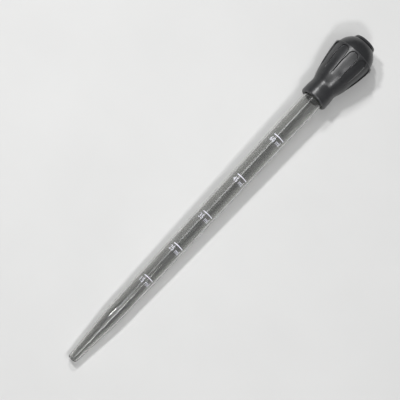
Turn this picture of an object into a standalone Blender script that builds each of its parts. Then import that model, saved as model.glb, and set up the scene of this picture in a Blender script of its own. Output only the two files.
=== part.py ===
"""Bulb baster: a clear tapered tube pushed into a fluted rubber squeeze bulb.

It lies with its axis along X, the tip at -X and the crown at +X, on the plane z = 0.
Every piece is built along local Z, upwards from the tip, and hangs on one empty that lays it down.
Units are metres.
"""
import math

import bmesh
import bpy
from mathutils import Matrix, Vector

# Overall
TOTAL_LENGTH = 0.450
GAP = 0.0003

# Tube, measured from the tip end
TUBE_WALL = 0.00145
TIP_RADIUS = 0.00487
TIP_ROUND = 0.0014
NOZZLE_LENGTH = 0.060
NOZZLE_BLEND = 0.010
NOZZLE_TOP_RADIUS = 0.00902
TUBE_TOP_RADIUS = 0.0110
TUBE_TOP = 0.3880
TUBE_TOP_ROUND = 0.0005
BARREL_STATIONS = (0.14, 0.22, 0.30)
TUBE_SIDES = 32

# Bulb stations along the axis, measured from the tip end
MOUTH = 0.3673
LIP_ROUND = 0.0019
SKIRT_RADIUS = 0.0151
SKIRT_END = 0.3745
WAIST = 0.3840
WAIST_RADIUS = 0.01455
FLARE = 0.3900
FLARE_RADIUS = 0.0161
FLARE_SLOPE = 0.34
SHOULDER = 0.4309
SHOULDER_ROUND = 0.0007
BELLY_RADIUS = 0.0236
BELLY_SLOPE = 0.06
DOME_CENTRE = 0.4284
DOME_RADIUS = 0.0218
DOME_HEIGHT = 0.0224
CROWN_RADIUS = 0.0130
CROWN_DRAFT_DEG = 18
CROWN_ROUND = 0.0010
BULB_SIDES = 44

# Inside of the bulb
BULB_WALL = 0.0026
MOUTH_CHAMFER = 0.0010
SOCKET_RADIUS = TUBE_TOP_RADIUS + GAP
SEAT = TUBE_TOP + GAP
THROAT_RADIUS = 0.0098
THROAT_END = 0.3912
CHAMBER_START = 0.4000
CROWN_WALL = 0.0048

# Flutes around the belly: slots of one width with a round end, one of them centred on top
FLUTE_COUNT = 11
FLUTE_HALF_WIDTH = 0.0053
FLUTE_START = 0.3985
FLUTE_FULL_DEPTH = 0.4135
FLUTE_TOP = 0.4288
FLUTE_DEPTH = 0.0012
FLUTE_INNER_REACH = 0.0100
FLUTE_OUTER_REACH = 0.0300

# The two areas of the wall that give under thumb and fingers
PRESS_MIDDLE = 0.4145
PRESS_HALF_LENGTH = 0.0130
PRESS_HALF_HEIGHT = 0.0110
PRESS_SIDES = 36
PRESS_INNER_Y = 0.002
PRESS_OUTER_Y = 0.040

PARTS_NAME = "bulb_baster"
CUTTERS_NAME = "cutters"
FLUTES_NAME = "flute_cutters"

# Preview finishes: colour, roughness and opacity
CLEAR = ((0.80, 0.82, 0.82), 0.12, 0.35)
RUBBER = ((0.030, 0.031, 0.034), 0.45, 1.0)
WALL_RUBBER = ((0.040, 0.041, 0.044), 0.45, 1.0)


def clear_scene():
    for obj in list(bpy.data.objects):
        bpy.data.objects.remove(obj, do_unlink=True)
    for collection in list(bpy.data.collections):
        bpy.data.collections.remove(collection)


def new_collection(name):
    collection = bpy.data.collections.new(name)
    bpy.context.scene.collection.children.link(collection)
    return collection


def material(name, color, roughness, alpha):
    mat = bpy.data.materials.new(name)
    mat.use_nodes = True
    shader = mat.node_tree.nodes["Principled BSDF"]
    shader.inputs["Base Color"].default_value = (*color, 1.0)
    shader.inputs["Roughness"].default_value = roughness
    shader.inputs["Metallic"].default_value = 0.0
    shader.inputs["Alpha"].default_value = alpha
    mat.diffuse_color = (*color, alpha)
    return mat


def place(obj, collection, axis):
    """Put a piece in its collection and hang it on the axis empty."""
    for old in list(obj.users_collection):
        old.objects.unlink(obj)
    collection.objects.link(obj)
    obj.parent = axis


def arc(centre_r, centre_z, radius, start_deg, end_deg, steps, height=None):
    """Points (r, z) on an arc, with 0 degrees outwards and 90 towards the crown; height makes it oval."""
    height = height or radius
    points = []
    for i in range(steps + 1):
        angle = math.radians(start_deg + (end_deg - start_deg) * i / steps)
        points.append((centre_r + radius * math.cos(angle), centre_z + height * math.sin(angle)))
    return points


def hermite(start, start_slope, end, end_slope, steps):
    """Points (r, z) on a cubic from start to end; a slope is radius gained per length."""
    (r0, z0), (r1, z1) = start, end
    length = z1 - z0
    points = []
    for i in range(steps + 1):
        t = i / steps
        radius = (2 * t**3 - 3 * t**2 + 1) * r0 + (t**3 - 2 * t**2 + t) * length * start_slope
        radius += (3 * t**2 - 2 * t**3) * r1 + (t**3 - t**2) * length * end_slope
        points.append((radius, z0 + length * t))
    return points


def turned(name, profile, sides):
    """Turn a closed (r, z) outline about local Z. Its outer side runs from the crown end to the tip end."""
    mesh = bpy.data.meshes.new(name)
    vertices = [(r, 0.0, z) for r, z in profile]
    edges = [(i, (i + 1) % len(vertices)) for i in range(len(vertices))]
    mesh.from_pydata(vertices, edges, [])
    obj = bpy.data.objects.new(name, mesh)
    screw = obj.modifiers.new("Turn", "SCREW")
    screw.axis = "Z"
    screw.angle = 2 * math.pi
    screw.steps = sides
    screw.render_steps = sides
    screw.use_merge_vertices = True
    screw.merge_threshold = 0.00001
    screw.use_smooth_shade = True
    return obj


def tube_radius(z):
    """Outer radius of the tube: a nozzle cone and a long draft, with a soft bend between them."""
    nozzle_slope = (NOZZLE_TOP_RADIUS - TIP_RADIUS) / NOZZLE_LENGTH
    draft_slope = (TUBE_TOP_RADIUS - NOZZLE_TOP_RADIUS) / (TUBE_TOP - NOZZLE_LENGTH)
    bend = z - NOZZLE_LENGTH
    if abs(bend) < NOZZLE_BLEND:
        ease = (bend + NOZZLE_BLEND) ** 2 / (4 * NOZZLE_BLEND)
        return NOZZLE_TOP_RADIUS + nozzle_slope * bend + (draft_slope - nozzle_slope) * ease
    return NOZZLE_TOP_RADIUS + (nozzle_slope if bend < 0 else draft_slope) * bend


def tube_stations():
    """Where the tube's outline has a point, from the tip end up."""
    bend = [NOZZLE_LENGTH + NOZZLE_BLEND * i / 2 for i in range(-2, 3)]
    return [NOZZLE_LENGTH / 2] + bend + list(BARREL_STATIONS)


def make_clear_tube():
    outer = arc(TUBE_TOP_RADIUS - TUBE_TOP_ROUND, TUBE_TOP - TUBE_TOP_ROUND, TUBE_TOP_ROUND, 90, 0, 3)
    outer += [(tube_radius(z), z) for z in reversed(tube_stations())]
    outer += arc(TIP_RADIUS - TIP_ROUND, TIP_ROUND, TIP_ROUND, 0, -90, 5)
    inner = [(TIP_RADIUS - TUBE_WALL, 0.0)]
    inner += [(tube_radius(z) - TUBE_WALL, z) for z in tube_stations()]
    inner += [(TUBE_TOP_RADIUS - TUBE_WALL, TUBE_TOP)]
    return turned("clear_tube", outer + inner, TUBE_SIDES)


def belly_outline(steps):
    """Points (r, z) on the belly, from the flare up to the shoulder."""
    belly_top = (BELLY_RADIUS, SHOULDER - SHOULDER_ROUND)
    return hermite((FLARE_RADIUS, FLARE), FLARE_SLOPE, belly_top, BELLY_SLOPE, steps)


def bulb_outer():
    """The bulb's outer outline from the crown down to the mouth's face."""
    draft = math.radians(CROWN_DRAFT_DEG)
    crown_foot = math.acos(CROWN_RADIUS / DOME_RADIUS)
    top = TOTAL_LENGTH - CROWN_ROUND
    wall_height = top + CROWN_ROUND * math.sin(draft) - DOME_CENTRE - DOME_HEIGHT * math.sin(crown_foot)
    flat = CROWN_RADIUS - wall_height * math.tan(draft) - CROWN_ROUND * math.cos(draft)
    dome_foot = math.degrees(math.asin((SHOULDER - DOME_CENTRE) / DOME_HEIGHT))
    points = [(0.0, TOTAL_LENGTH)]
    points += arc(flat, top, CROWN_ROUND, 90, CROWN_DRAFT_DEG, 3)
    points += arc(0.0, DOME_CENTRE, DOME_RADIUS, math.degrees(crown_foot), dome_foot, 9, DOME_HEIGHT)
    edge_radius = BELLY_RADIUS - SHOULDER_ROUND
    points += arc(edge_radius, SHOULDER - SHOULDER_ROUND, SHOULDER_ROUND, 90, 0, 3)
    points += reversed(belly_outline(10)[:-1])
    points += reversed(hermite((WAIST_RADIUS, WAIST), 0.0, (FLARE_RADIUS, FLARE), FLARE_SLOPE, 3)[:-1])
    points += reversed(hermite((SKIRT_RADIUS, SKIRT_END), 0.0, (WAIST_RADIUS, WAIST), 0.0, 3)[:-1])
    points += arc(SKIRT_RADIUS - LIP_ROUND, MOUTH + LIP_ROUND, LIP_ROUND, 0, -90, 4)
    return points


def bulb_inner():
    """The bulb's inner outline from the mouth up to the crown: socket, seat, throat and chamber."""
    points = [(SOCKET_RADIUS + MOUTH_CHAMFER, MOUTH)]
    points += [(SOCKET_RADIUS, MOUTH + MOUTH_CHAMFER), (SOCKET_RADIUS, SEAT)]
    points += [(THROAT_RADIUS, SEAT), (THROAT_RADIUS, THROAT_END)]
    chamber_end = DOME_CENTRE - BULB_WALL
    points += [(r - BULB_WALL, z) for r, z in belly_outline(10) if CHAMBER_START < z < chamber_end]
    inner_radius = DOME_RADIUS - BULB_WALL
    inner_height = DOME_HEIGHT - BULB_WALL
    ceiling = math.degrees(math.asin((TOTAL_LENGTH - CROWN_WALL - DOME_CENTRE) / inner_height))
    points += arc(0.0, DOME_CENTRE, inner_radius, 0, ceiling, 7, inner_height)
    points += [(0.0, TOTAL_LENGTH - CROWN_WALL)]
    return points


def flute_depth(z):
    """How far a flute's floor lies under the belly: full at the shoulder, and nothing at FLUTE_START."""
    return FLUTE_DEPTH * min((z - FLUTE_START) / (FLUTE_FULL_DEPTH - FLUTE_START), 1.0)


def make_flute_floor(collection, axis):
    """A solid whose side is the floor of all the flutes."""
    side = [(r - flute_depth(z), z) for r, z in belly_outline(10)]
    outline = [(0.0, side[-1][1])] + side[::-1] + [(0.0, side[0][1])]
    floor = turned("flute_floor", outline, BULB_SIDES)
    place(floor, collection, axis)
    hide_cutter(floor)
    return floor


def make_flute_cutters(collection, axis, floor):
    """A ring of slots with a round end at the shoulder, each cut back to the floor of the flutes."""
    round_end = arc(0.0, FLUTE_TOP - FLUTE_HALF_WIDTH, FLUTE_HALF_WIDTH, 0, 180, 10)
    foot = FLUTE_START - FLUTE_DEPTH
    outline = [(-FLUTE_HALF_WIDTH, foot), (FLUTE_HALF_WIDTH, foot)] + round_end
    for i in range(FLUTE_COUNT):
        shape = bmesh.new()
        rim = [shape.verts.new((FLUTE_INNER_REACH, y, z)) for y, z in outline]
        face = shape.faces.new(rim)
        swept = bmesh.ops.extrude_face_region(shape, geom=[face])["geom"]
        moved = [v for v in swept if isinstance(v, bmesh.types.BMVert)]
        bmesh.ops.translate(shape, verts=moved, vec=(FLUTE_OUTER_REACH - FLUTE_INNER_REACH, 0.0, 0.0))
        bmesh.ops.recalc_face_normals(shape, faces=shape.faces)
        mesh = bpy.data.meshes.new(f"flute_cutter_{i + 1}")
        shape.to_mesh(mesh)
        shape.free()
        cutter = bpy.data.objects.new(mesh.name, mesh)
        place(cutter, collection, axis)
        cutter.rotation_euler = (0.0, 0.0, math.pi + 2 * math.pi * i / FLUTE_COUNT)
        boolean(cutter, "DIFFERENCE", floor)
        hide_cutter(cutter)


def make_press_cutter(name, collection, axis, grow, low_y, high_y):
    """An oval prism along Y: the outline of a pressed area of the wall."""
    bpy.ops.mesh.primitive_cylinder_add(vertices=PRESS_SIDES, radius=1.0, depth=1.0)
    cutter = bpy.context.object
    cutter.name = name
    cutter.data.name = name
    half_height = PRESS_HALF_HEIGHT + grow
    half_length = PRESS_HALF_LENGTH + grow
    shape = Matrix.Diagonal((half_height, half_length, high_y - low_y, 1.0))
    cutter.data.transform(Matrix.Rotation(math.pi / 2, 4, "X") @ shape)
    place(cutter, collection, axis)
    cutter.location = Vector((0.0, (low_y + high_y) / 2, PRESS_MIDDLE))
    hide_cutter(cutter)
    return cutter


def hide_cutter(cutter):
    cutter.display_type = "WIRE"
    cutter.hide_render = True


def boolean(obj, operation, cutter):
    modifier = obj.modifiers.new(f"{operation.title()} {cutter.name}", "BOOLEAN")
    modifier.operation = operation
    modifier.solver = "EXACT"
    if isinstance(cutter, bpy.types.Collection):
        modifier.operand_type = "COLLECTION"
        modifier.collection = cutter
    else:
        modifier.object = cutter


def make_bulb_blank(name, flute_cutters):
    """The whole fluted bulb, from which each piece of it is cut."""
    blank = turned(name, bulb_outer() + bulb_inner(), BULB_SIDES)
    boolean(blank, "DIFFERENCE", flute_cutters)
    return blank


def main():
    clear_scene()
    parts = new_collection(PARTS_NAME)
    cutters = new_collection(CUTTERS_NAME)
    flute_cutters = bpy.data.collections.new(FLUTES_NAME)
    cutters.children.link(flute_cutters)

    axis = bpy.data.objects.new("baster_axis", None)
    parts.objects.link(axis)
    axis.location = (-TOTAL_LENGTH / 2, 0.0, BELLY_RADIUS)
    axis.rotation_euler = (0.0, math.pi / 2, 0.0)

    clear = material("clear_plastic", *CLEAR)
    rubber = material("bulb_rubber", *RUBBER)
    wall_rubber = material("wall_rubber", *WALL_RUBBER)

    floor = make_flute_floor(cutters, axis)
    make_flute_cutters(flute_cutters, axis, floor)
    inner, outer = PRESS_INNER_Y, PRESS_OUTER_Y
    windows = make_press_cutter("press_windows", cutters, axis, GAP, -outer, outer)
    left_outline = make_press_cutter("left_outline", cutters, axis, 0.0, inner, outer)
    right_outline = make_press_cutter("right_outline", cutters, axis, 0.0, -outer, -inner)

    tube = make_clear_tube()
    bulb = make_bulb_blank("squeeze_bulb", flute_cutters)
    boolean(bulb, "DIFFERENCE", windows)
    left_wall = make_bulb_blank("squeeze_wall_left", flute_cutters)
    boolean(left_wall, "INTERSECT", left_outline)
    right_wall = make_bulb_blank("squeeze_wall_right", flute_cutters)
    boolean(right_wall, "INTERSECT", right_outline)

    finishes = ((tube, clear), (bulb, rubber), (left_wall, wall_rubber), (right_wall, wall_rubber))
    for piece, finish in finishes:
        place(piece, parts, axis)
        piece.data.materials.append(finish)


main()
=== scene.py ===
"""Looks of the bulb baster: a satin rubber squeeze bulb on a clear tapered tube with a printed scale.

Lengths are metres. Places along the baster are stations, which count from the tip's end.
Angles round the axis count from straight up, and grow towards +Y.
"""
import math

import bmesh
import bpy
import numpy as np
from mathutils import Matrix, Vector


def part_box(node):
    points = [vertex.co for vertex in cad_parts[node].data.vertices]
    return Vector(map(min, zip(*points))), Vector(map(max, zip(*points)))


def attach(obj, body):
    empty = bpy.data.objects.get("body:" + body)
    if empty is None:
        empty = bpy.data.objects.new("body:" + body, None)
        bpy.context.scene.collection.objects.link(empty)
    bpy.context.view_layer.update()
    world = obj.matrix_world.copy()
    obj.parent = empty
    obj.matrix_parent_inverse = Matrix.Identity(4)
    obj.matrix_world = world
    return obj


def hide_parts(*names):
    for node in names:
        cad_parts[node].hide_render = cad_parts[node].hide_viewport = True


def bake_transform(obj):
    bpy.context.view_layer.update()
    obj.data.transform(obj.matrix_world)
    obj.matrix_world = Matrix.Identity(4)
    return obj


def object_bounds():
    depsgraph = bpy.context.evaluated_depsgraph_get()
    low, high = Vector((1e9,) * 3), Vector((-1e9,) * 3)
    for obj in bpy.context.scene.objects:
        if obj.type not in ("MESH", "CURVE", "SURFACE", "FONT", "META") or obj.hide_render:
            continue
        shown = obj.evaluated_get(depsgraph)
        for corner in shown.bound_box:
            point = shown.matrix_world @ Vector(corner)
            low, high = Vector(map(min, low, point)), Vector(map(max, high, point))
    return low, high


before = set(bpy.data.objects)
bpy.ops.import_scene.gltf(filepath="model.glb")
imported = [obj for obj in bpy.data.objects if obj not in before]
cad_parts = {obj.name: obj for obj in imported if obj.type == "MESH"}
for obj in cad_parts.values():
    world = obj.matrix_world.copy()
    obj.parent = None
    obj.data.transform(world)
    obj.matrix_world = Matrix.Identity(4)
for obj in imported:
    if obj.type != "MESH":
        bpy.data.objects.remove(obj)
cad_low, cad_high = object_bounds()

TUBE_LOW, TUBE_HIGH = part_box("clear_tube")
BULB_LOW, BULB_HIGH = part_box("squeeze_bulb")
TIP_X = TUBE_LOW.x
AXIS_Z = (BULB_LOW.z + BULB_HIGH.z) / 2
MOUTH = BULB_LOW.x - TIP_X
CROWN_TOP = BULB_HIGH.x - TIP_X
TUBE_TOP = TUBE_HIGH.x - TIP_X
BELLY_RADIUS = (BULB_HIGH.z - BULB_LOW.z) / 2
TUBE_TOP_RADIUS = (TUBE_HIGH.z - TUBE_LOW.z) / 2

# Tube
TUBE_WALL = 0.00145
TIP_RADIUS = 0.00487
TIP_ROUND = 0.0014
TIP_ROUND_END_DEG = -75
BORE_ROUND = 0.0003
TUBE_TOP_ROUND = 0.0004
NOZZLE_LENGTH = 0.060
NOZZLE_BLEND = 0.010
NOZZLE_TOP_RADIUS = 0.00902
NOZZLE_ROWS = 12
BEND_ROWS = 16
BARREL_ROWS = 44
TUBE_COLUMNS = 128

# Bulb, outside
LIP_ROUND = 0.0019
SKIRT_RADIUS = 0.0151
SKIRT_END = 0.3745
WAIST = 0.3840
WAIST_RADIUS = 0.01455
FLARE = 0.3900
FLARE_RADIUS = 0.0161
FLARE_SLOPE = 0.34
SHOULDER = 0.4309
SHOULDER_ROUND = 0.0007
BELLY_SLOPE = 0.06
DOME_CENTRE = 0.4284
DOME_RADIUS = 0.0218
DOME_HEIGHT = 0.0224
CROWN_RADIUS = 0.0130
CROWN_DRAFT = math.radians(18)
CROWN_ROUND = 0.0010
FOOT_FILLET = 0.0004
FOOT_END_DEG = 225
LEDGE_START_DEG = 190
FLUTE_END_ROWS = 56
FLUTE_ROWS = 78
NECK_ROWS = 15

# Bulb, inside
BULB_WALL = 0.0026
MOUTH_CHAMFER = 0.0010
SOCKET_RADIUS = TUBE_TOP_RADIUS + 0.0003
SEAT = TUBE_TOP + 0.0003
THROAT_RADIUS = 0.0098
THROAT_END = 0.3912
CHAMBER_START = 0.4000
CROWN_WALL = 0.0048
CHAMBER_ROWS = 21

# Flutes: slots rounded at the shoulder, which widen and fade out towards the neck
FLUTE_COUNT = 11
FLUTE_HALF_WIDTH = 0.0053
FLUTE_WIDENING = 0.045
FLUTE_END_LENGTH = 0.0050
FLUTE_TOP = 0.4289
FLUTE_START = 0.3950
FLUTE_FULL_DEPTH = 0.4070
FLUTE_DEPTH = 0.0012
FLUTE_WALL = 0.0008
RIDGE_HALF_WIDTH = 0.0003
FLOOR_COLUMNS = 12
WALL_COLUMNS = 13
FLUTE_ENDS_SHARE = 0.8

# How far the wear of an edge or the painted shade of a corner spreads from it: across the axis, and along
# it
RIM_SPREAD = (0.0008, 0.0010)
SHOULDER_SPREAD = (0.0006, 0.0009)
LIP_SPREAD = (0.0012, 0.0012)
CORNER_SPREAD = (0.0005, 0.0006)

# Printed scale: the station of each line and the volume up to it
SCALE = ((0.1127, "15 ml"), (0.1576, "25 ml"), (0.2025, "35 ml"), (0.2548, "45 ml"), (0.3117, "60 ml"))
SCALE_LINE_WIDTH = 0.0010
SCALE_LINE_START = math.radians(-45)
SCALE_LINE_END = math.radians(29)
SCALE_LINE_STEPS = 60
FIGURE_HEIGHT = 0.0052
FIGURE_WIDTH = 0.0122
FIGURE_SHIFT = 0.0007
FIGURE_GAP = 0.0025
FIGURE_SLICE = 0.0004
INK_GAP = 0.00002
INK_THICKNESS = 0.00004
FIGURE_SMOOTHNESS = 6
SAME_POINT = 1e-5
ON_THE_CUT = 1e-7
MOST_CORNERS = 100000

# Colours, as linear red, green and blue
RUBBER_DARK = (0.020, 0.0204, 0.0215)
RUBBER_PALE = (0.028, 0.0285, 0.030)
# Painted shade: the rubber's colour in its corners and on its flute walls
RUBBER_PAINTED_SHADE = (0.006, 0.006, 0.0065)
RUBBER_RUBBED = (0.085, 0.086, 0.09)
PLASTIC_SMOKY = (0.64, 0.645, 0.63)
PLASTIC_PALE = (0.69, 0.695, 0.68)
INK_THIN = (0.58, 0.58, 0.65)
INK_FULL = (0.74, 0.74, 0.82)
FLOOR_DARK = (0.58, 0.58, 0.575)
FLOOR_PALE = (0.60, 0.60, 0.595)
WORLD_COLOUR = (0.95, 0.97, 1.0)

# How the surfaces take light; heights of bumps are in metres
RUBBER_IOR = 1.48
# How strongly shade is painted into the rubber's corners and flute walls
PAINTED_SHADE_STRENGTH = 0.9
GRAIN_HEIGHT = 0.00002
RIPPLE_HEIGHT = 0.00003
PLASTIC_IOR = 1.49
PLASTIC_CLEARNESS = 0.96
PLASTIC_SHINE = 0.1
FLOW_HEIGHT = 0.000002
INK_HEIGHT = 0.00001
WORLD_STRENGTH = 0.09

# Camera and stage
CAMERA_LEAN = math.radians(14)
CAMERA_ROLL = math.radians(47.1)
CAMERA_DISTANCE = 5.62
CAMERA_SHIFT = (-0.0144, 0.0146)
LENS = 500
SENSOR_WIDTH = 36
FLOOR_SLOPE = 0.0365
FLOOR_SIZE = 6.0

# Lights: name, place, the point that it is turned to, width and height, and power in watts.
# The key and the belly_key light the bulb from its +Y side, from where the barrel doesn't mirror them.
BULB_AIM = (0.17, 0, AXIS_Z)
TUBE_AIM = (-0.02, 0, AXIS_Z)
LIGHTS = (
    ("key", (0.585, 0.76, 1.24), BULB_AIM, (0.05, 0.18), 7),
    ("belly_key", (0.075, 0.75, 1.30), BULB_AIM, (0.11, 0.14), 9),
    ("fill", (-0.49, -0.48, 1.28), BULB_AIM, (0.26, 0.16), 7),
    ("ridge_light", (0.00, -0.48, 1.32), BULB_AIM, (0.40, 0.25), 2.5),
    ("tube_key", (0.32, 0.43, 1.41), TUBE_AIM, (0.45, 0.40), 2),
    ("left_strip", (0.15, 1.30, 0.20), BULB_AIM, (0.9, 0.08), 0.5),
    ("right_strip", (0.15, -1.30, 0.20), BULB_AIM, (0.9, 0.08), 0.5),
    ("top", (-0.2, 0, 2.4), TUBE_AIM, (1.2, 1.2), 10),
)


# ---------------------------------------------------------------- outlines

def arc(centre_r, centre_z, radius, start_deg, end_deg, steps, height=None):
    """Points (r, z) on an arc, with 0 degrees outwards and 90 towards the crown; height makes it oval."""
    height = height or radius
    angles = np.radians(np.linspace(start_deg, end_deg, steps + 1))
    return [(centre_r + radius * math.cos(a), centre_z + height * math.sin(a)) for a in angles]


def line(start, end, steps):
    """Points (r, z) on a straight run, without its first point."""
    (r0, z0), (r1, z1) = start, end
    shares = [(i + 1) / steps for i in range(steps)]
    return [(r0 + (r1 - r0) * t, z0 + (z1 - z0) * t) for t in shares]


def hermite(start, start_slope, end, end_slope, shares):
    """Points (r, z) on a cubic from start to end, at shares of its length; a slope is radius per length."""
    (r0, z0), (r1, z1) = start, end
    length = z1 - z0
    points = []
    for t in shares:
        radius = (2 * t**3 - 3 * t**2 + 1) * r0 + (t**3 - 2 * t**2 + t) * length * start_slope
        radius += (3 * t**2 - 2 * t**3) * r1 + (t**3 - t**2) * length * end_slope
        points.append((radius, z0 + length * t))
    return points


def tube_radius(z):
    """Outer radius of the tube: a nozzle cone and a long draft, with a soft bend between them."""
    nozzle_slope = (NOZZLE_TOP_RADIUS - TIP_RADIUS) / NOZZLE_LENGTH
    draft_slope = (TUBE_TOP_RADIUS - NOZZLE_TOP_RADIUS) / (TUBE_TOP - NOZZLE_LENGTH)
    bend = z - NOZZLE_LENGTH
    if abs(bend) < NOZZLE_BLEND:
        ease = (bend + NOZZLE_BLEND) ** 2 / (4 * NOZZLE_BLEND)
        return NOZZLE_TOP_RADIUS + nozzle_slope * bend + (draft_slope - nozzle_slope) * ease
    return NOZZLE_TOP_RADIUS + (nozzle_slope if bend < 0 else draft_slope) * bend


def tube_outline():
    """The tube's closed outline: down its outside, round the tip, and up its bore."""
    bend_start, bend_end = NOZZLE_LENGTH - NOZZLE_BLEND, NOZZLE_LENGTH + NOZZLE_BLEND
    stations = list(np.linspace(2 * TIP_ROUND, bend_start, NOZZLE_ROWS, endpoint=False))
    stations += list(np.linspace(bend_start, bend_end, BEND_ROWS, endpoint=False))
    stations += list(np.linspace(bend_end, TUBE_TOP - 2 * TUBE_TOP_ROUND, BARREL_ROWS))
    shoulder = TUBE_TOP - TUBE_TOP_ROUND
    points = arc(TUBE_TOP_RADIUS - TUBE_TOP_ROUND, shoulder, TUBE_TOP_ROUND, 90, 0, steps=5)
    points += [(tube_radius(z), z) for z in reversed(stations)]
    points += arc(TIP_RADIUS - TIP_ROUND, TIP_ROUND, TIP_ROUND, 0, TIP_ROUND_END_DEG, steps=8)
    bore = TIP_RADIUS - TUBE_WALL
    points += arc(bore + BORE_ROUND, BORE_ROUND, BORE_ROUND, -90, -180, steps=4)
    points += [(tube_radius(z) - TUBE_WALL, z) for z in stations]
    rim = TUBE_TOP_RADIUS - TUBE_WALL + TUBE_TOP_ROUND
    points += arc(rim, shoulder, TUBE_TOP_ROUND, 180, 90, steps=5)
    return points


def belly_outline(shares):
    """Points (r, z) of the belly between its flutes, at shares of its length above the flare."""
    top = (BELLY_RADIUS, SHOULDER - SHOULDER_ROUND)
    return hermite((FLARE_RADIUS, FLARE), FLARE_SLOPE, top, BELLY_SLOPE, shares)


def crown_foot():
    """The station where the crown's wall would meet the dome without its fillet."""
    return DOME_CENTRE + DOME_HEIGHT * math.sqrt(1 - (CROWN_RADIUS / DOME_RADIUS) ** 2)


def crown_edge():
    """Radius of the crown's wall at its top, where the rounded rim begins."""
    wall_height = CROWN_TOP - CROWN_ROUND * (1 - math.sin(CROWN_DRAFT)) - crown_foot()
    return CROWN_RADIUS - wall_height * math.tan(CROWN_DRAFT)


def bulb_outside():
    """The bulb's outline from the crown's middle down its outside to the mouth."""
    draft_deg = math.degrees(CROWN_DRAFT)
    flat = crown_edge() - CROWN_ROUND * math.cos(CROWN_DRAFT)
    points = [(0.0, CROWN_TOP)]
    points += line(points[-1], (flat, CROWN_TOP), steps=14)
    points += arc(flat, CROWN_TOP - CROWN_ROUND, CROWN_ROUND, 90, draft_deg, steps=9)[1:]
    foot = math.acos((CROWN_RADIUS + FOOT_FILLET) / DOME_RADIUS)
    foot_z = DOME_CENTRE + DOME_HEIGHT * math.sin(foot) + FOOT_FILLET
    points += line(points[-1], (CROWN_RADIUS, foot_z), steps=3)
    fillet = arc(CROWN_RADIUS + FOOT_FILLET, foot_z, FOOT_FILLET, 180 + draft_deg, FOOT_END_DEG, steps=3)
    points += fillet[1:]
    ledge = SHOULDER + FOOT_FILLET
    dome_end = math.degrees(math.asin((ledge - DOME_CENTRE) / DOME_HEIGHT))
    points += arc(0.0, DOME_CENTRE, DOME_RADIUS, math.degrees(foot), dome_end, steps=52, height=DOME_HEIGHT)
    points += arc(points[-1][0] + FOOT_FILLET, ledge, FOOT_FILLET, LEDGE_START_DEG, 270, steps=4)
    points += line(points[-1], (BELLY_RADIUS - SHOULDER_ROUND, SHOULDER), steps=3)
    edge_r, edge_z = BELLY_RADIUS - SHOULDER_ROUND, SHOULDER - SHOULDER_ROUND
    points += arc(edge_r, edge_z, SHOULDER_ROUND, 90, 0, steps=7)[1:]
    points += belly_outline(np.linspace(1, FLUTE_ENDS_SHARE, FLUTE_END_ROWS))[1:]
    points += belly_outline(np.linspace(FLUTE_ENDS_SHARE, 0, FLUTE_ROWS))[1:]
    down = np.linspace(1, 0, NECK_ROWS)
    points += hermite((WAIST_RADIUS, WAIST), 0.0, (FLARE_RADIUS, FLARE), FLARE_SLOPE, down)[1:]
    points += hermite((SKIRT_RADIUS, SKIRT_END), 0.0, (WAIST_RADIUS, WAIST), 0.0, down)[1:]
    points += line(points[-1], (SKIRT_RADIUS, MOUTH + LIP_ROUND), steps=14)
    points += arc(SKIRT_RADIUS - LIP_ROUND, MOUTH + LIP_ROUND, LIP_ROUND, 0, -90, steps=12)[1:]
    return points


def bulb_inside():
    """The bulb's outline from the mouth's flat up its inside to the middle of the chamber's ceiling."""
    points = [(SOCKET_RADIUS + MOUTH_CHAMFER, MOUTH)]
    points += line(points[-1], (SOCKET_RADIUS, MOUTH + MOUTH_CHAMFER), steps=2)
    points += line(points[-1], (SOCKET_RADIUS, SEAT), steps=5)
    points += line(points[-1], (THROAT_RADIUS, SEAT), steps=1)
    points += line(points[-1], (THROAT_RADIUS, THROAT_END), steps=1)
    belly = belly_outline(np.linspace(0, 1, CHAMBER_ROWS))
    chamber = [(r - BULB_WALL, z) for r, z in belly if CHAMBER_START < z < DOME_CENTRE - BULB_WALL]
    points += line(points[-1], chamber[0], steps=4) + chamber[1:]
    inner_radius, inner_height = DOME_RADIUS - BULB_WALL, DOME_HEIGHT - BULB_WALL
    ceiling = math.degrees(math.asin((CROWN_TOP - CROWN_WALL - DOME_CENTRE) / inner_height))
    points += arc(0.0, DOME_CENTRE, inner_radius, 0, ceiling, steps=12, height=inner_height)
    points += line(points[-1], (0.0, CROWN_TOP - CROWN_WALL), steps=5)
    return points


# ---------------------------------------------------------------- meshes

def round_axis(radius, angle, station):
    """Points of the row frame from their distances from the axis, their angles and their stations."""
    return np.stack((TIP_X + station, radius * np.sin(angle), AXIS_Z + radius * np.cos(angle)), axis=-1)


def grid_faces(rows, columns, closed_rows, closed_columns):
    """Corner numbers of the quads of a grid of points, numbered row by row."""
    faces = []
    for i in range(rows if closed_rows else rows - 1):
        low, high = i * columns, ((i + 1) % rows) * columns
        for j in range(columns if closed_columns else columns - 1):
            k = (j + 1) % columns
            faces.append((low + j, low + k, high + k, high + j))
    return faces


def new_object(name, points, faces, material):
    """A smooth-shaded object of these points and faces, linked to the scene."""
    mesh = bpy.data.meshes.new(name)
    mesh.from_pydata([tuple(p) for p in points], [], faces)
    mesh.polygons.foreach_set("use_smooth", [True] * len(mesh.polygons))
    mesh.materials.append(material)
    obj = bpy.data.objects.new(name, mesh)
    bpy.context.scene.collection.objects.link(obj)
    return obj


def smoothstep(low, high, x):
    """0 below low and 1 above high, with an even S-shaped run between them."""
    t = np.clip((x - low) / (high - low), 0.0, 1.0)
    return t * t * (3 - 2 * t)


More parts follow.
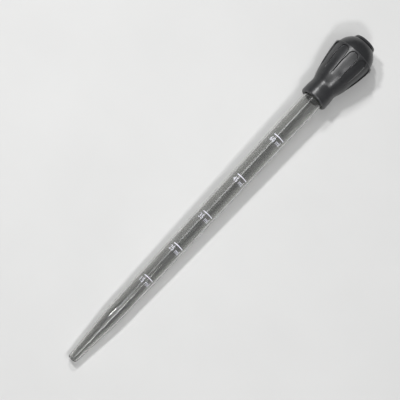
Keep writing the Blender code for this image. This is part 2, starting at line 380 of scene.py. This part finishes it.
def flute_shape(radius, angle, station):
    """How far the flutes sink below the belly at these places, and how near each is to a flute's wall.

    The nearness is 1 in the middle of a wall and 0 away from it, and sets how much shade is painted there.
    """
    pitch = 2 * math.pi / FLUTE_COUNT
    across = radius * np.sin((angle + pitch / 2) % pitch - pitch / 2)
    end = FLUTE_TOP - FLUTE_END_LENGTH
    past_end = np.maximum(station - end, 0.0) * FLUTE_HALF_WIDTH / FLUTE_END_LENGTH
    half_width = FLUTE_HALF_WIDTH + FLUTE_WIDENING * np.maximum(end - station, 0.0)
    half_width = np.minimum(half_width, radius * math.sin(pitch / 2) - RIDGE_HALF_WIDTH)
    outside = np.hypot(across, past_end) - half_width
    inside = 1.0 - smoothstep(-FLUTE_WALL / 2, FLUTE_WALL / 2, outside)
    full = smoothstep(FLUTE_START, FLUTE_FULL_DEPTH, station)
    # 4 x (1 - x) is 1 where x is a half, which is in the middle of a wall
    return FLUTE_DEPTH * full * inside, 4.0 * full * inside * (1.0 - inside)


def flute_angles():
    """Angles of the bulb's columns: far apart on a flute's floor, and close together on its walls."""
    pitch = 2 * math.pi / FLUTE_COUNT
    wall = (FLUTE_HALF_WIDTH - FLUTE_WALL) / BELLY_RADIUS
    half = list(np.linspace(0.0, wall, FLOOR_COLUMNS, endpoint=False))
    half += list(np.linspace(wall, pitch / 2, WALL_COLUMNS, endpoint=False))
    flute = [-pitch / 2] + [-a for a in half[:0:-1]] + half
    return np.concatenate([np.array(flute) + i * pitch for i in range(FLUTE_COUNT)])


def nearness(radius, station, ring, spread):
    """1 on a ring (r, z) round the axis, falling to 0 within a few spreads of it."""
    across = (radius - ring[0]) / spread[0]
    along = (station - ring[1]) / spread[1]
    return np.exp(-across ** 2 - along ** 2)


def worn(radius, station):
    """Nearly 1 where rubber is rubbed, which is on the crown's rim, the shoulder's edge and the lip."""
    rim = nearness(radius, station, (crown_edge(), CROWN_TOP), RIM_SPREAD)
    shoulder = nearness(radius, station, (BELLY_RADIUS, SHOULDER), SHOULDER_SPREAD)
    lip = nearness(radius, station, (SKIRT_RADIUS, MOUTH), LIP_SPREAD)
    return rim + shoulder + lip


def corner_painted_shade(radius, station):
    """Nearly 1 in the corners at the crown's foot and on the shoulder's ledge, where shade is painted into
    the rubber's colour.
    """
    foot = nearness(radius, station, (CROWN_RADIUS, crown_foot()), CORNER_SPREAD)
    ledge = nearness(radius, station, (DOME_RADIUS, SHOULDER), CORNER_SPREAD)
    return foot + ledge


def grid_normals(points):
    """Unit normals of a grid of points whose columns close round the axis, weighted by area."""
    along = np.diff(points, axis=0)
    around = np.roll(points, -1, axis=1) - points
    flat = np.cross((around[:-1] + around[1:]) / 2, along)
    total = np.pad(flat, ((1, 0), (0, 0), (0, 0))) + np.pad(flat, ((0, 1), (0, 0), (0, 0)))
    total = total + np.roll(total, 1, axis=1)
    return total / np.linalg.norm(total, axis=-1, keepdims=True)


def make_bulb(rubber):
    """The bulb as two halves that meet in the upright plane through the axis, one for each pressed side."""
    outside = bulb_outside()
    outline = np.array(outside + bulb_inside())
    angles = flute_angles()
    columns = len(angles)
    radius, angle = np.meshgrid(outline[:, 0], angles, indexing="ij")
    station = np.repeat(outline[:, 1:2], columns, axis=1)
    depth, walls = flute_shape(radius, angle, station)
    depth[len(outside):] = 0.0
    points = round_axis(radius - depth, angle, station)
    normals = grid_normals(points)
    normals[0], normals[-1] = (1, 0, 0), (-1, 0, 0)
    # The flute walls and the corners get painted shade: the rubber's colour darkens there.
    values = {"worn_edge": worn(radius, station), "painted_shade": walls + corner_painted_shade(radius, station)}
    for value in values.values():
        value[len(outside):] = 0.0
    top = int(np.argmin(np.abs(angles)))
    half = columns // 2
    for wall, first, side in (("left", top, 1), ("right", top + half, -1)):
        taken = [(first + j) % columns for j in range(half + 1)]
        share = {key: value[:, taken] for key, value in values.items()}
        obj = half_bulb("bulb_" + wall + "_half", points[:, taken], normals[:, taken], share, rubber)
        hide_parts("squeeze_bulb", "squeeze_wall_" + wall)
        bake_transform(obj)


def half_bulb(name, points, normals, values, rubber):
    """Half the bulb from its share of the grid; the first and last rows close to a point each."""
    rows, columns = points.shape[:2]
    inner = slice(1, rows - 1)
    count = (rows - 2) * columns
    faces = grid_faces(rows - 2, columns, False, False)
    faces += [(count, j + 1, j) for j in range(columns - 1)]
    faces += [(count - columns + j, count - columns + j + 1, count + 1) for j in range(columns - 1)]

    def flat(values):
        """The grid's rows between the first and the last, and then one point for each of those two."""
        body = values[inner].reshape(count, -1)
        return np.concatenate((body, values[0, :1].reshape(1, -1), values[-1, :1].reshape(1, -1)))

    obj = new_object(name, flat(points), faces, rubber)
    for key, value in values.items():
        attribute = obj.data.attributes.new(key, "FLOAT", "POINT")
        attribute.data.foreach_set("value", flat(value).astype(np.float32).ravel())
    obj.data.normals_split_custom_set_from_vertices([tuple(n) for n in flat(normals)])
    return obj


def make_tube(plastic):
    """The tube, inside and out, as one closed skin turned round the axis."""
    outline = np.array(tube_outline())
    angles = np.linspace(0.0, 2 * math.pi, TUBE_COLUMNS, endpoint=False)
    radius, angle = np.meshgrid(outline[:, 0], angles, indexing="ij")
    station = np.repeat(outline[:, 1:2], TUBE_COLUMNS, axis=1)
    points = round_axis(radius, angle, station).reshape(-1, 3)
    tube = new_object("tube_skin", points, grid_faces(len(outline), TUBE_COLUMNS, True, True), plastic)
    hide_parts("clear_tube")
    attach(tube, "tube")


# ---------------------------------------------------------------- printed scale

def wrap(across, station, lift):
    """A printed point: across is measured round the tube from its top, and grows towards -Y."""
    radius = tube_radius(station)
    angle = -across / radius
    radius += lift
    return (TIP_X + station, radius * math.sin(angle), AXIS_Z + radius * math.cos(angle))


def add_line(ink, station):
    """A line of the scale, as a thin curved bar."""
    radius = tube_radius(station)
    corners = [(-1, 0), (-1, 1), (1, 1), (1, 0)]
    rings = []
    for angle in np.linspace(SCALE_LINE_START, SCALE_LINE_END, SCALE_LINE_STEPS + 1):
        ring = []
        for side, top in corners:
            place = station + side * SCALE_LINE_WIDTH / 2
            ring.append(ink.verts.new(wrap(-angle * radius, place, INK_GAP + top * INK_THICKNESS)))
        rings.append(ring)
    for before, after in zip(rings, rings[1:]):
        for i in range(len(corners)):
            k = (i + 1) % len(corners)
            ink.faces.new((before[i], before[k], after[k], after[i]))
    ink.faces.new(rings[0][::-1])
    ink.faces.new(rings[-1])


def add_figure(ink, text, base):
    """A figure of the scale, cut into slices that can follow the tube's round."""
    curve = bpy.data.curves.new("figure", "FONT")
    curve.body = text
    curve.align_x = "CENTER"
    curve.resolution_u = FIGURE_SMOOTHNESS
    holder = bpy.data.objects.new("figure", curve)
    bpy.context.scene.collection.objects.link(holder)
    bpy.context.view_layer.update()
    mesh = bpy.data.meshes.new_from_object(holder.evaluated_get(bpy.context.evaluated_depsgraph_get()))
    shape = bmesh.new()
    shape.from_mesh(mesh)
    bmesh.ops.remove_doubles(shape, verts=shape.verts, dist=SAME_POINT)
    low = Vector([min(v.co[i] for v in shape.verts) for i in range(3)])
    high = Vector([max(v.co[i] for v in shape.verts) for i in range(3)])
    for v in shape.verts:
        v.co.x = (v.co.x - (low.x + high.x) / 2) * FIGURE_WIDTH / (high.x - low.x)
        v.co.y = (v.co.y - low.y) * FIGURE_HEIGHT / (high.y - low.y)
    for i in range(int(FIGURE_WIDTH / FIGURE_SLICE)):
        everything = shape.verts[:] + shape.edges[:] + shape.faces[:]
        place = (i * FIGURE_SLICE - FIGURE_WIDTH / 2, 0, 0)
        across = (1, 0, 0)
        bmesh.ops.bisect_plane(shape, geom=everything, plane_co=place, plane_no=across, dist=ON_THE_CUT)
    bmesh.ops.triangulate(shape, faces=shape.faces[:])
    top = bmesh.ops.extrude_face_region(shape, geom=shape.faces[:])
    for v in top["geom"]:
        if isinstance(v, bmesh.types.BMVert):
            v.co.z = INK_THICKNESS
    for v in shape.verts:
        v.co = wrap(v.co.x + FIGURE_SHIFT, base + v.co.y, INK_GAP + v.co.z)
    bmesh.ops.recalc_face_normals(shape, faces=shape.faces[:])
    shape.to_mesh(mesh)
    shape.free()
    ink.from_mesh(mesh)
    bpy.data.objects.remove(holder)
    bpy.data.curves.remove(curve)
    bpy.data.meshes.remove(mesh)


def corner_order(part):
    """A number that sorts edges or faces by their corners' numbers, in whatever order they were made."""
    number = 0
    for corner in sorted(v.index for v in part.verts)[:3]:
        number = number * MOST_CORNERS + corner
    return number


def make_scale(print_ink):
    """The whole printed scale as one piece, just above the tube's surface."""
    ink = bmesh.new()
    for station, text in SCALE:
        add_line(ink, station)
        add_figure(ink, text, station - SCALE_LINE_WIDTH / 2 - FIGURE_GAP - FIGURE_HEIGHT)
    bmesh.ops.recalc_face_normals(ink, faces=ink.faces[:])
    ink.verts.index_update()
    ink.edges.sort(key=corner_order)
    ink.faces.sort(key=corner_order)
    mesh = bpy.data.meshes.new("printed_scale")
    ink.to_mesh(mesh)
    ink.free()
    mesh.materials.append(print_ink)
    scale = bpy.data.objects.new("printed_scale", mesh)
    bpy.context.scene.collection.objects.link(scale)
    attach(scale, "tube")


# ---------------------------------------------------------------- materials

class Nodes:
    """Short forms for making a material's nodes."""

    def __init__(self, name):
        self.material = bpy.data.materials.new(name)
        self.material.use_nodes = True
        self.tree = self.material.node_tree
        self.shader = self.tree.nodes["Principled BSDF"]
        self.place = self.add("ShaderNodeTexCoord").outputs["Object"]

    def add(self, kind, **settings):
        node = self.tree.nodes.new(kind)
        for key, value in settings.items():
            setattr(node, key, value)
        return node

    def join(self, source, target):
        self.tree.links.new(source, target)

    def noise(self, scale, detail=3.0, roughness=0.5, stretch=None):
        """Noise with this many features a metre; stretch squeezes it along each axis."""
        node = self.add("ShaderNodeTexNoise")
        node.inputs["Scale"].default_value = scale
        node.inputs["Detail"].default_value = detail
        node.inputs["Roughness"].default_value = roughness
        place = self.place
        if stretch:
            mapping = self.add("ShaderNodeMapping")
            mapping.inputs["Scale"].default_value = stretch
            self.join(place, mapping.inputs["Vector"])
            place = mapping.outputs["Vector"]
        self.join(place, node.inputs["Vector"])
        return node.outputs["Fac"]

    def spread(self, value, low, high, start=0.3, end=0.7):
        """The value's run from start to end, as a run from low to high."""
        node = self.add("ShaderNodeMapRange")
        node.inputs["From Min"].default_value = start
        node.inputs["From Max"].default_value = end
        node.inputs["To Min"].default_value = low
        node.inputs["To Max"].default_value = high
        self.join(value, node.inputs["Value"])
        return node.outputs["Result"]

    def math(self, operation, first, second):
        node = self.add("ShaderNodeMath", operation=operation)
        for socket, value in zip(node.inputs, (first, second)):
            if isinstance(value, (int, float)):
                socket.default_value = value
            else:
                self.join(value, socket)
        return node.outputs["Value"]

    def mix(self, share, first, second):
        """A colour between two others; a colour is a tuple or another node's output."""
        # A mix node's colours are its inputs 6 and 7 and its output 2
        node = self.add("ShaderNodeMix", data_type="RGBA")
        for socket, value in ((node.inputs[6], first), (node.inputs[7], second)):
            if isinstance(value, tuple):
                socket.default_value = (*value, 1.0)
            else:
                self.join(value, socket)
        self.join(share, node.inputs["Factor"])
        return node.outputs[2]

    def bump(self, height, distance):
        """Bumps of this height in metres, on top of those already on the shader."""
        node = self.add("ShaderNodeBump")
        node.inputs["Distance"].default_value = distance
        self.join(height, node.inputs["Height"])
        under = self.shader.inputs["Normal"]
        if under.links:
            self.join(under.links[0].from_socket, node.inputs["Normal"])
        self.join(node.outputs["Normal"], under)


def make_rubber():
    """Charcoal moulded rubber: fine grain and faint blotches, paler where rubbed, with painted shade
    darkening its corners and flute walls.
    """
    n = Nodes("bulb_rubber")
    edge = n.add("ShaderNodeAttribute", attribute_name="worn_edge").outputs["Fac"]
    painted_shade = n.add("ShaderNodeAttribute", attribute_name="painted_shade").outputs["Fac"]
    rubbed = n.math("MULTIPLY", edge, n.spread(n.noise(scale=500, detail=4), low=0.2, high=0.6))
    blotches = n.spread(n.noise(scale=55, detail=5, roughness=0.6), low=0.0, high=1.0)
    colour = n.mix(blotches, RUBBER_DARK, RUBBER_PALE)
    # Painted shade: the colour darkens on the flute walls and in the corners.
    colour = n.mix(n.math("MULTIPLY", painted_shade, PAINTED_SHADE_STRENGTH), colour, RUBBER_PAINTED_SHADE)
    colour = n.mix(rubbed, colour, RUBBER_RUBBED)
    n.join(colour, n.shader.inputs["Base Color"])
    grain = n.noise(scale=2600, detail=2)
    patches = n.spread(n.noise(scale=90, detail=4), low=0.27, high=0.33)
    sheen = n.math("ADD", patches, n.spread(grain, low=-0.03, high=0.03))
    n.join(sheen, n.shader.inputs["Roughness"])
    n.shader.inputs["IOR"].default_value = RUBBER_IOR
    # The painted shade also lowers the shine in the same places.
    shine = n.spread(painted_shade, low=0.5, high=0.1, start=0.0, end=1.0)
    n.join(shine, n.shader.inputs["Specular IOR Level"])
    n.bump(grain, GRAIN_HEIGHT)
    n.bump(n.noise(scale=260, detail=3), RIPPLE_HEIGHT)
    return n.material


def make_plastic():
    """Clear moulded plastic, faintly smoky, with weak flow lines along it and fine handling haze."""
    n = Nodes("clear_plastic")
    flow = n.noise(scale=60, detail=3, stretch=(0.06, 1.0, 1.0))
    colour = n.mix(n.spread(flow, low=0, high=1), PLASTIC_SMOKY, PLASTIC_PALE)
    n.join(colour, n.shader.inputs["Base Color"])
    haze = n.spread(n.noise(scale=150, detail=3), low=0.03, high=0.06)
    n.join(haze, n.shader.inputs["Roughness"])
    n.shader.inputs["Transmission Weight"].default_value = PLASTIC_CLEARNESS
    n.shader.inputs["Specular IOR Level"].default_value = PLASTIC_SHINE
    n.shader.inputs["IOR"].default_value = PLASTIC_IOR
    n.bump(flow, FLOW_HEIGHT)
    return n.material


def make_ink():
    """Pale screen-printed ink, a little thin in places."""
    n = Nodes("scale_ink")
    thickness = n.spread(n.noise(scale=1500, detail=4, roughness=0.6), low=0.0, high=1.0)
    n.join(n.mix(thickness, INK_THIN, INK_FULL), n.shader.inputs["Base Color"])
    n.join(n.spread(n.noise(scale=700, detail=3), low=0.42, high=0.58), n.shader.inputs["Roughness"])
    n.bump(thickness, INK_HEIGHT)
    return n.material


def make_floor_material():
    """Pale matt paper, with broad faint clouds."""
    n = Nodes("floor_paper")
    clouds = n.spread(n.noise(scale=9, detail=3), low=0, high=1)
    n.join(n.mix(clouds, FLOOR_DARK, FLOOR_PALE), n.shader.inputs["Base Color"])
    n.join(n.spread(n.noise(scale=40, detail=2), low=0.82, high=0.9), n.shader.inputs["Roughness"])
    return n.material


# ---------------------------------------------------------------- stage, lights and camera

def make_floor():
    """A floor that touches the belly's edge and runs just under the nozzle, as a table would."""
    half = FLOOR_SIZE / 2
    corners = [(-half, -half, 0), (half, -half, 0), (half, half, 0), (-half, half, 0)]
    floor = new_object("floor", corners, [(0, 1, 2, 3)], make_floor_material())
    floor.rotation_euler = (0, math.atan(FLOOR_SLOPE), 0)
    floor.location = (TIP_X + SHOULDER, 0, AXIS_Z - BELLY_RADIUS)


def make_light(name, place, aim, size, power):
    """A soft rectangular light at a place, turned towards the point of the baster that it is for."""
    data = bpy.data.lights.new(name, "AREA")
    data.shape = "RECTANGLE"
    data.size, data.size_y = size
    data.energy = power
    light = bpy.data.objects.new(name, data)
    light.location = place
    light.rotation_mode = "QUATERNION"
    light.rotation_quaternion = (Vector(place) - Vector(aim)).to_track_quat("Z", "Y")
    light.visible_camera = False
    bpy.context.scene.collection.objects.link(light)


def make_lights():
    """Every light of the table."""
    for light in LIGHTS:
        make_light(*light)


def make_world():
    """A faint even light from all round."""
    world = bpy.data.worlds.new("studio")
    world.use_nodes = True
    background = world.node_tree.nodes["Background"]
    background.inputs["Color"].default_value = (*WORLD_COLOUR, 1)
    background.inputs["Strength"].default_value = WORLD_STRENGTH
    bpy.context.scene.world = world


def make_camera():
    """Looks down at the baster from the tip's end, turned so that it lies slanting across the picture."""
    data = bpy.data.cameras.new("camera")
    data.lens = LENS
    data.sensor_width = SENSOR_WIDTH
    camera = bpy.data.objects.new("camera", data)
    bpy.context.scene.collection.objects.link(camera)
    back = Vector((-math.sin(CAMERA_LEAN), 0, math.cos(CAMERA_LEAN)))
    along = Vector((math.cos(CAMERA_LEAN), 0, math.sin(CAMERA_LEAN)))
    across = Vector((0, -1, 0))
    right = along * math.cos(CAMERA_ROLL) + across * math.sin(CAMERA_ROLL)
    up = along * math.sin(CAMERA_ROLL) - across * math.cos(CAMERA_ROLL)
    middle = Vector(((cad_low.x + cad_high.x) / 2, 0, AXIS_Z))
    target = middle + along * CAMERA_SHIFT[0] - across * CAMERA_SHIFT[1]
    turn = Matrix((right, up, back)).transposed().to_4x4()
    camera.matrix_world = Matrix.Translation(target + back * CAMERA_DISTANCE) @ turn
    bpy.context.scene.camera = camera


make_bulb(make_rubber())
make_tube(make_plastic())
make_scale(make_ink())
make_floor()
make_lights()
make_world()
make_camera()
bpy.context.scene.view_settings.view_transform = "Standard"
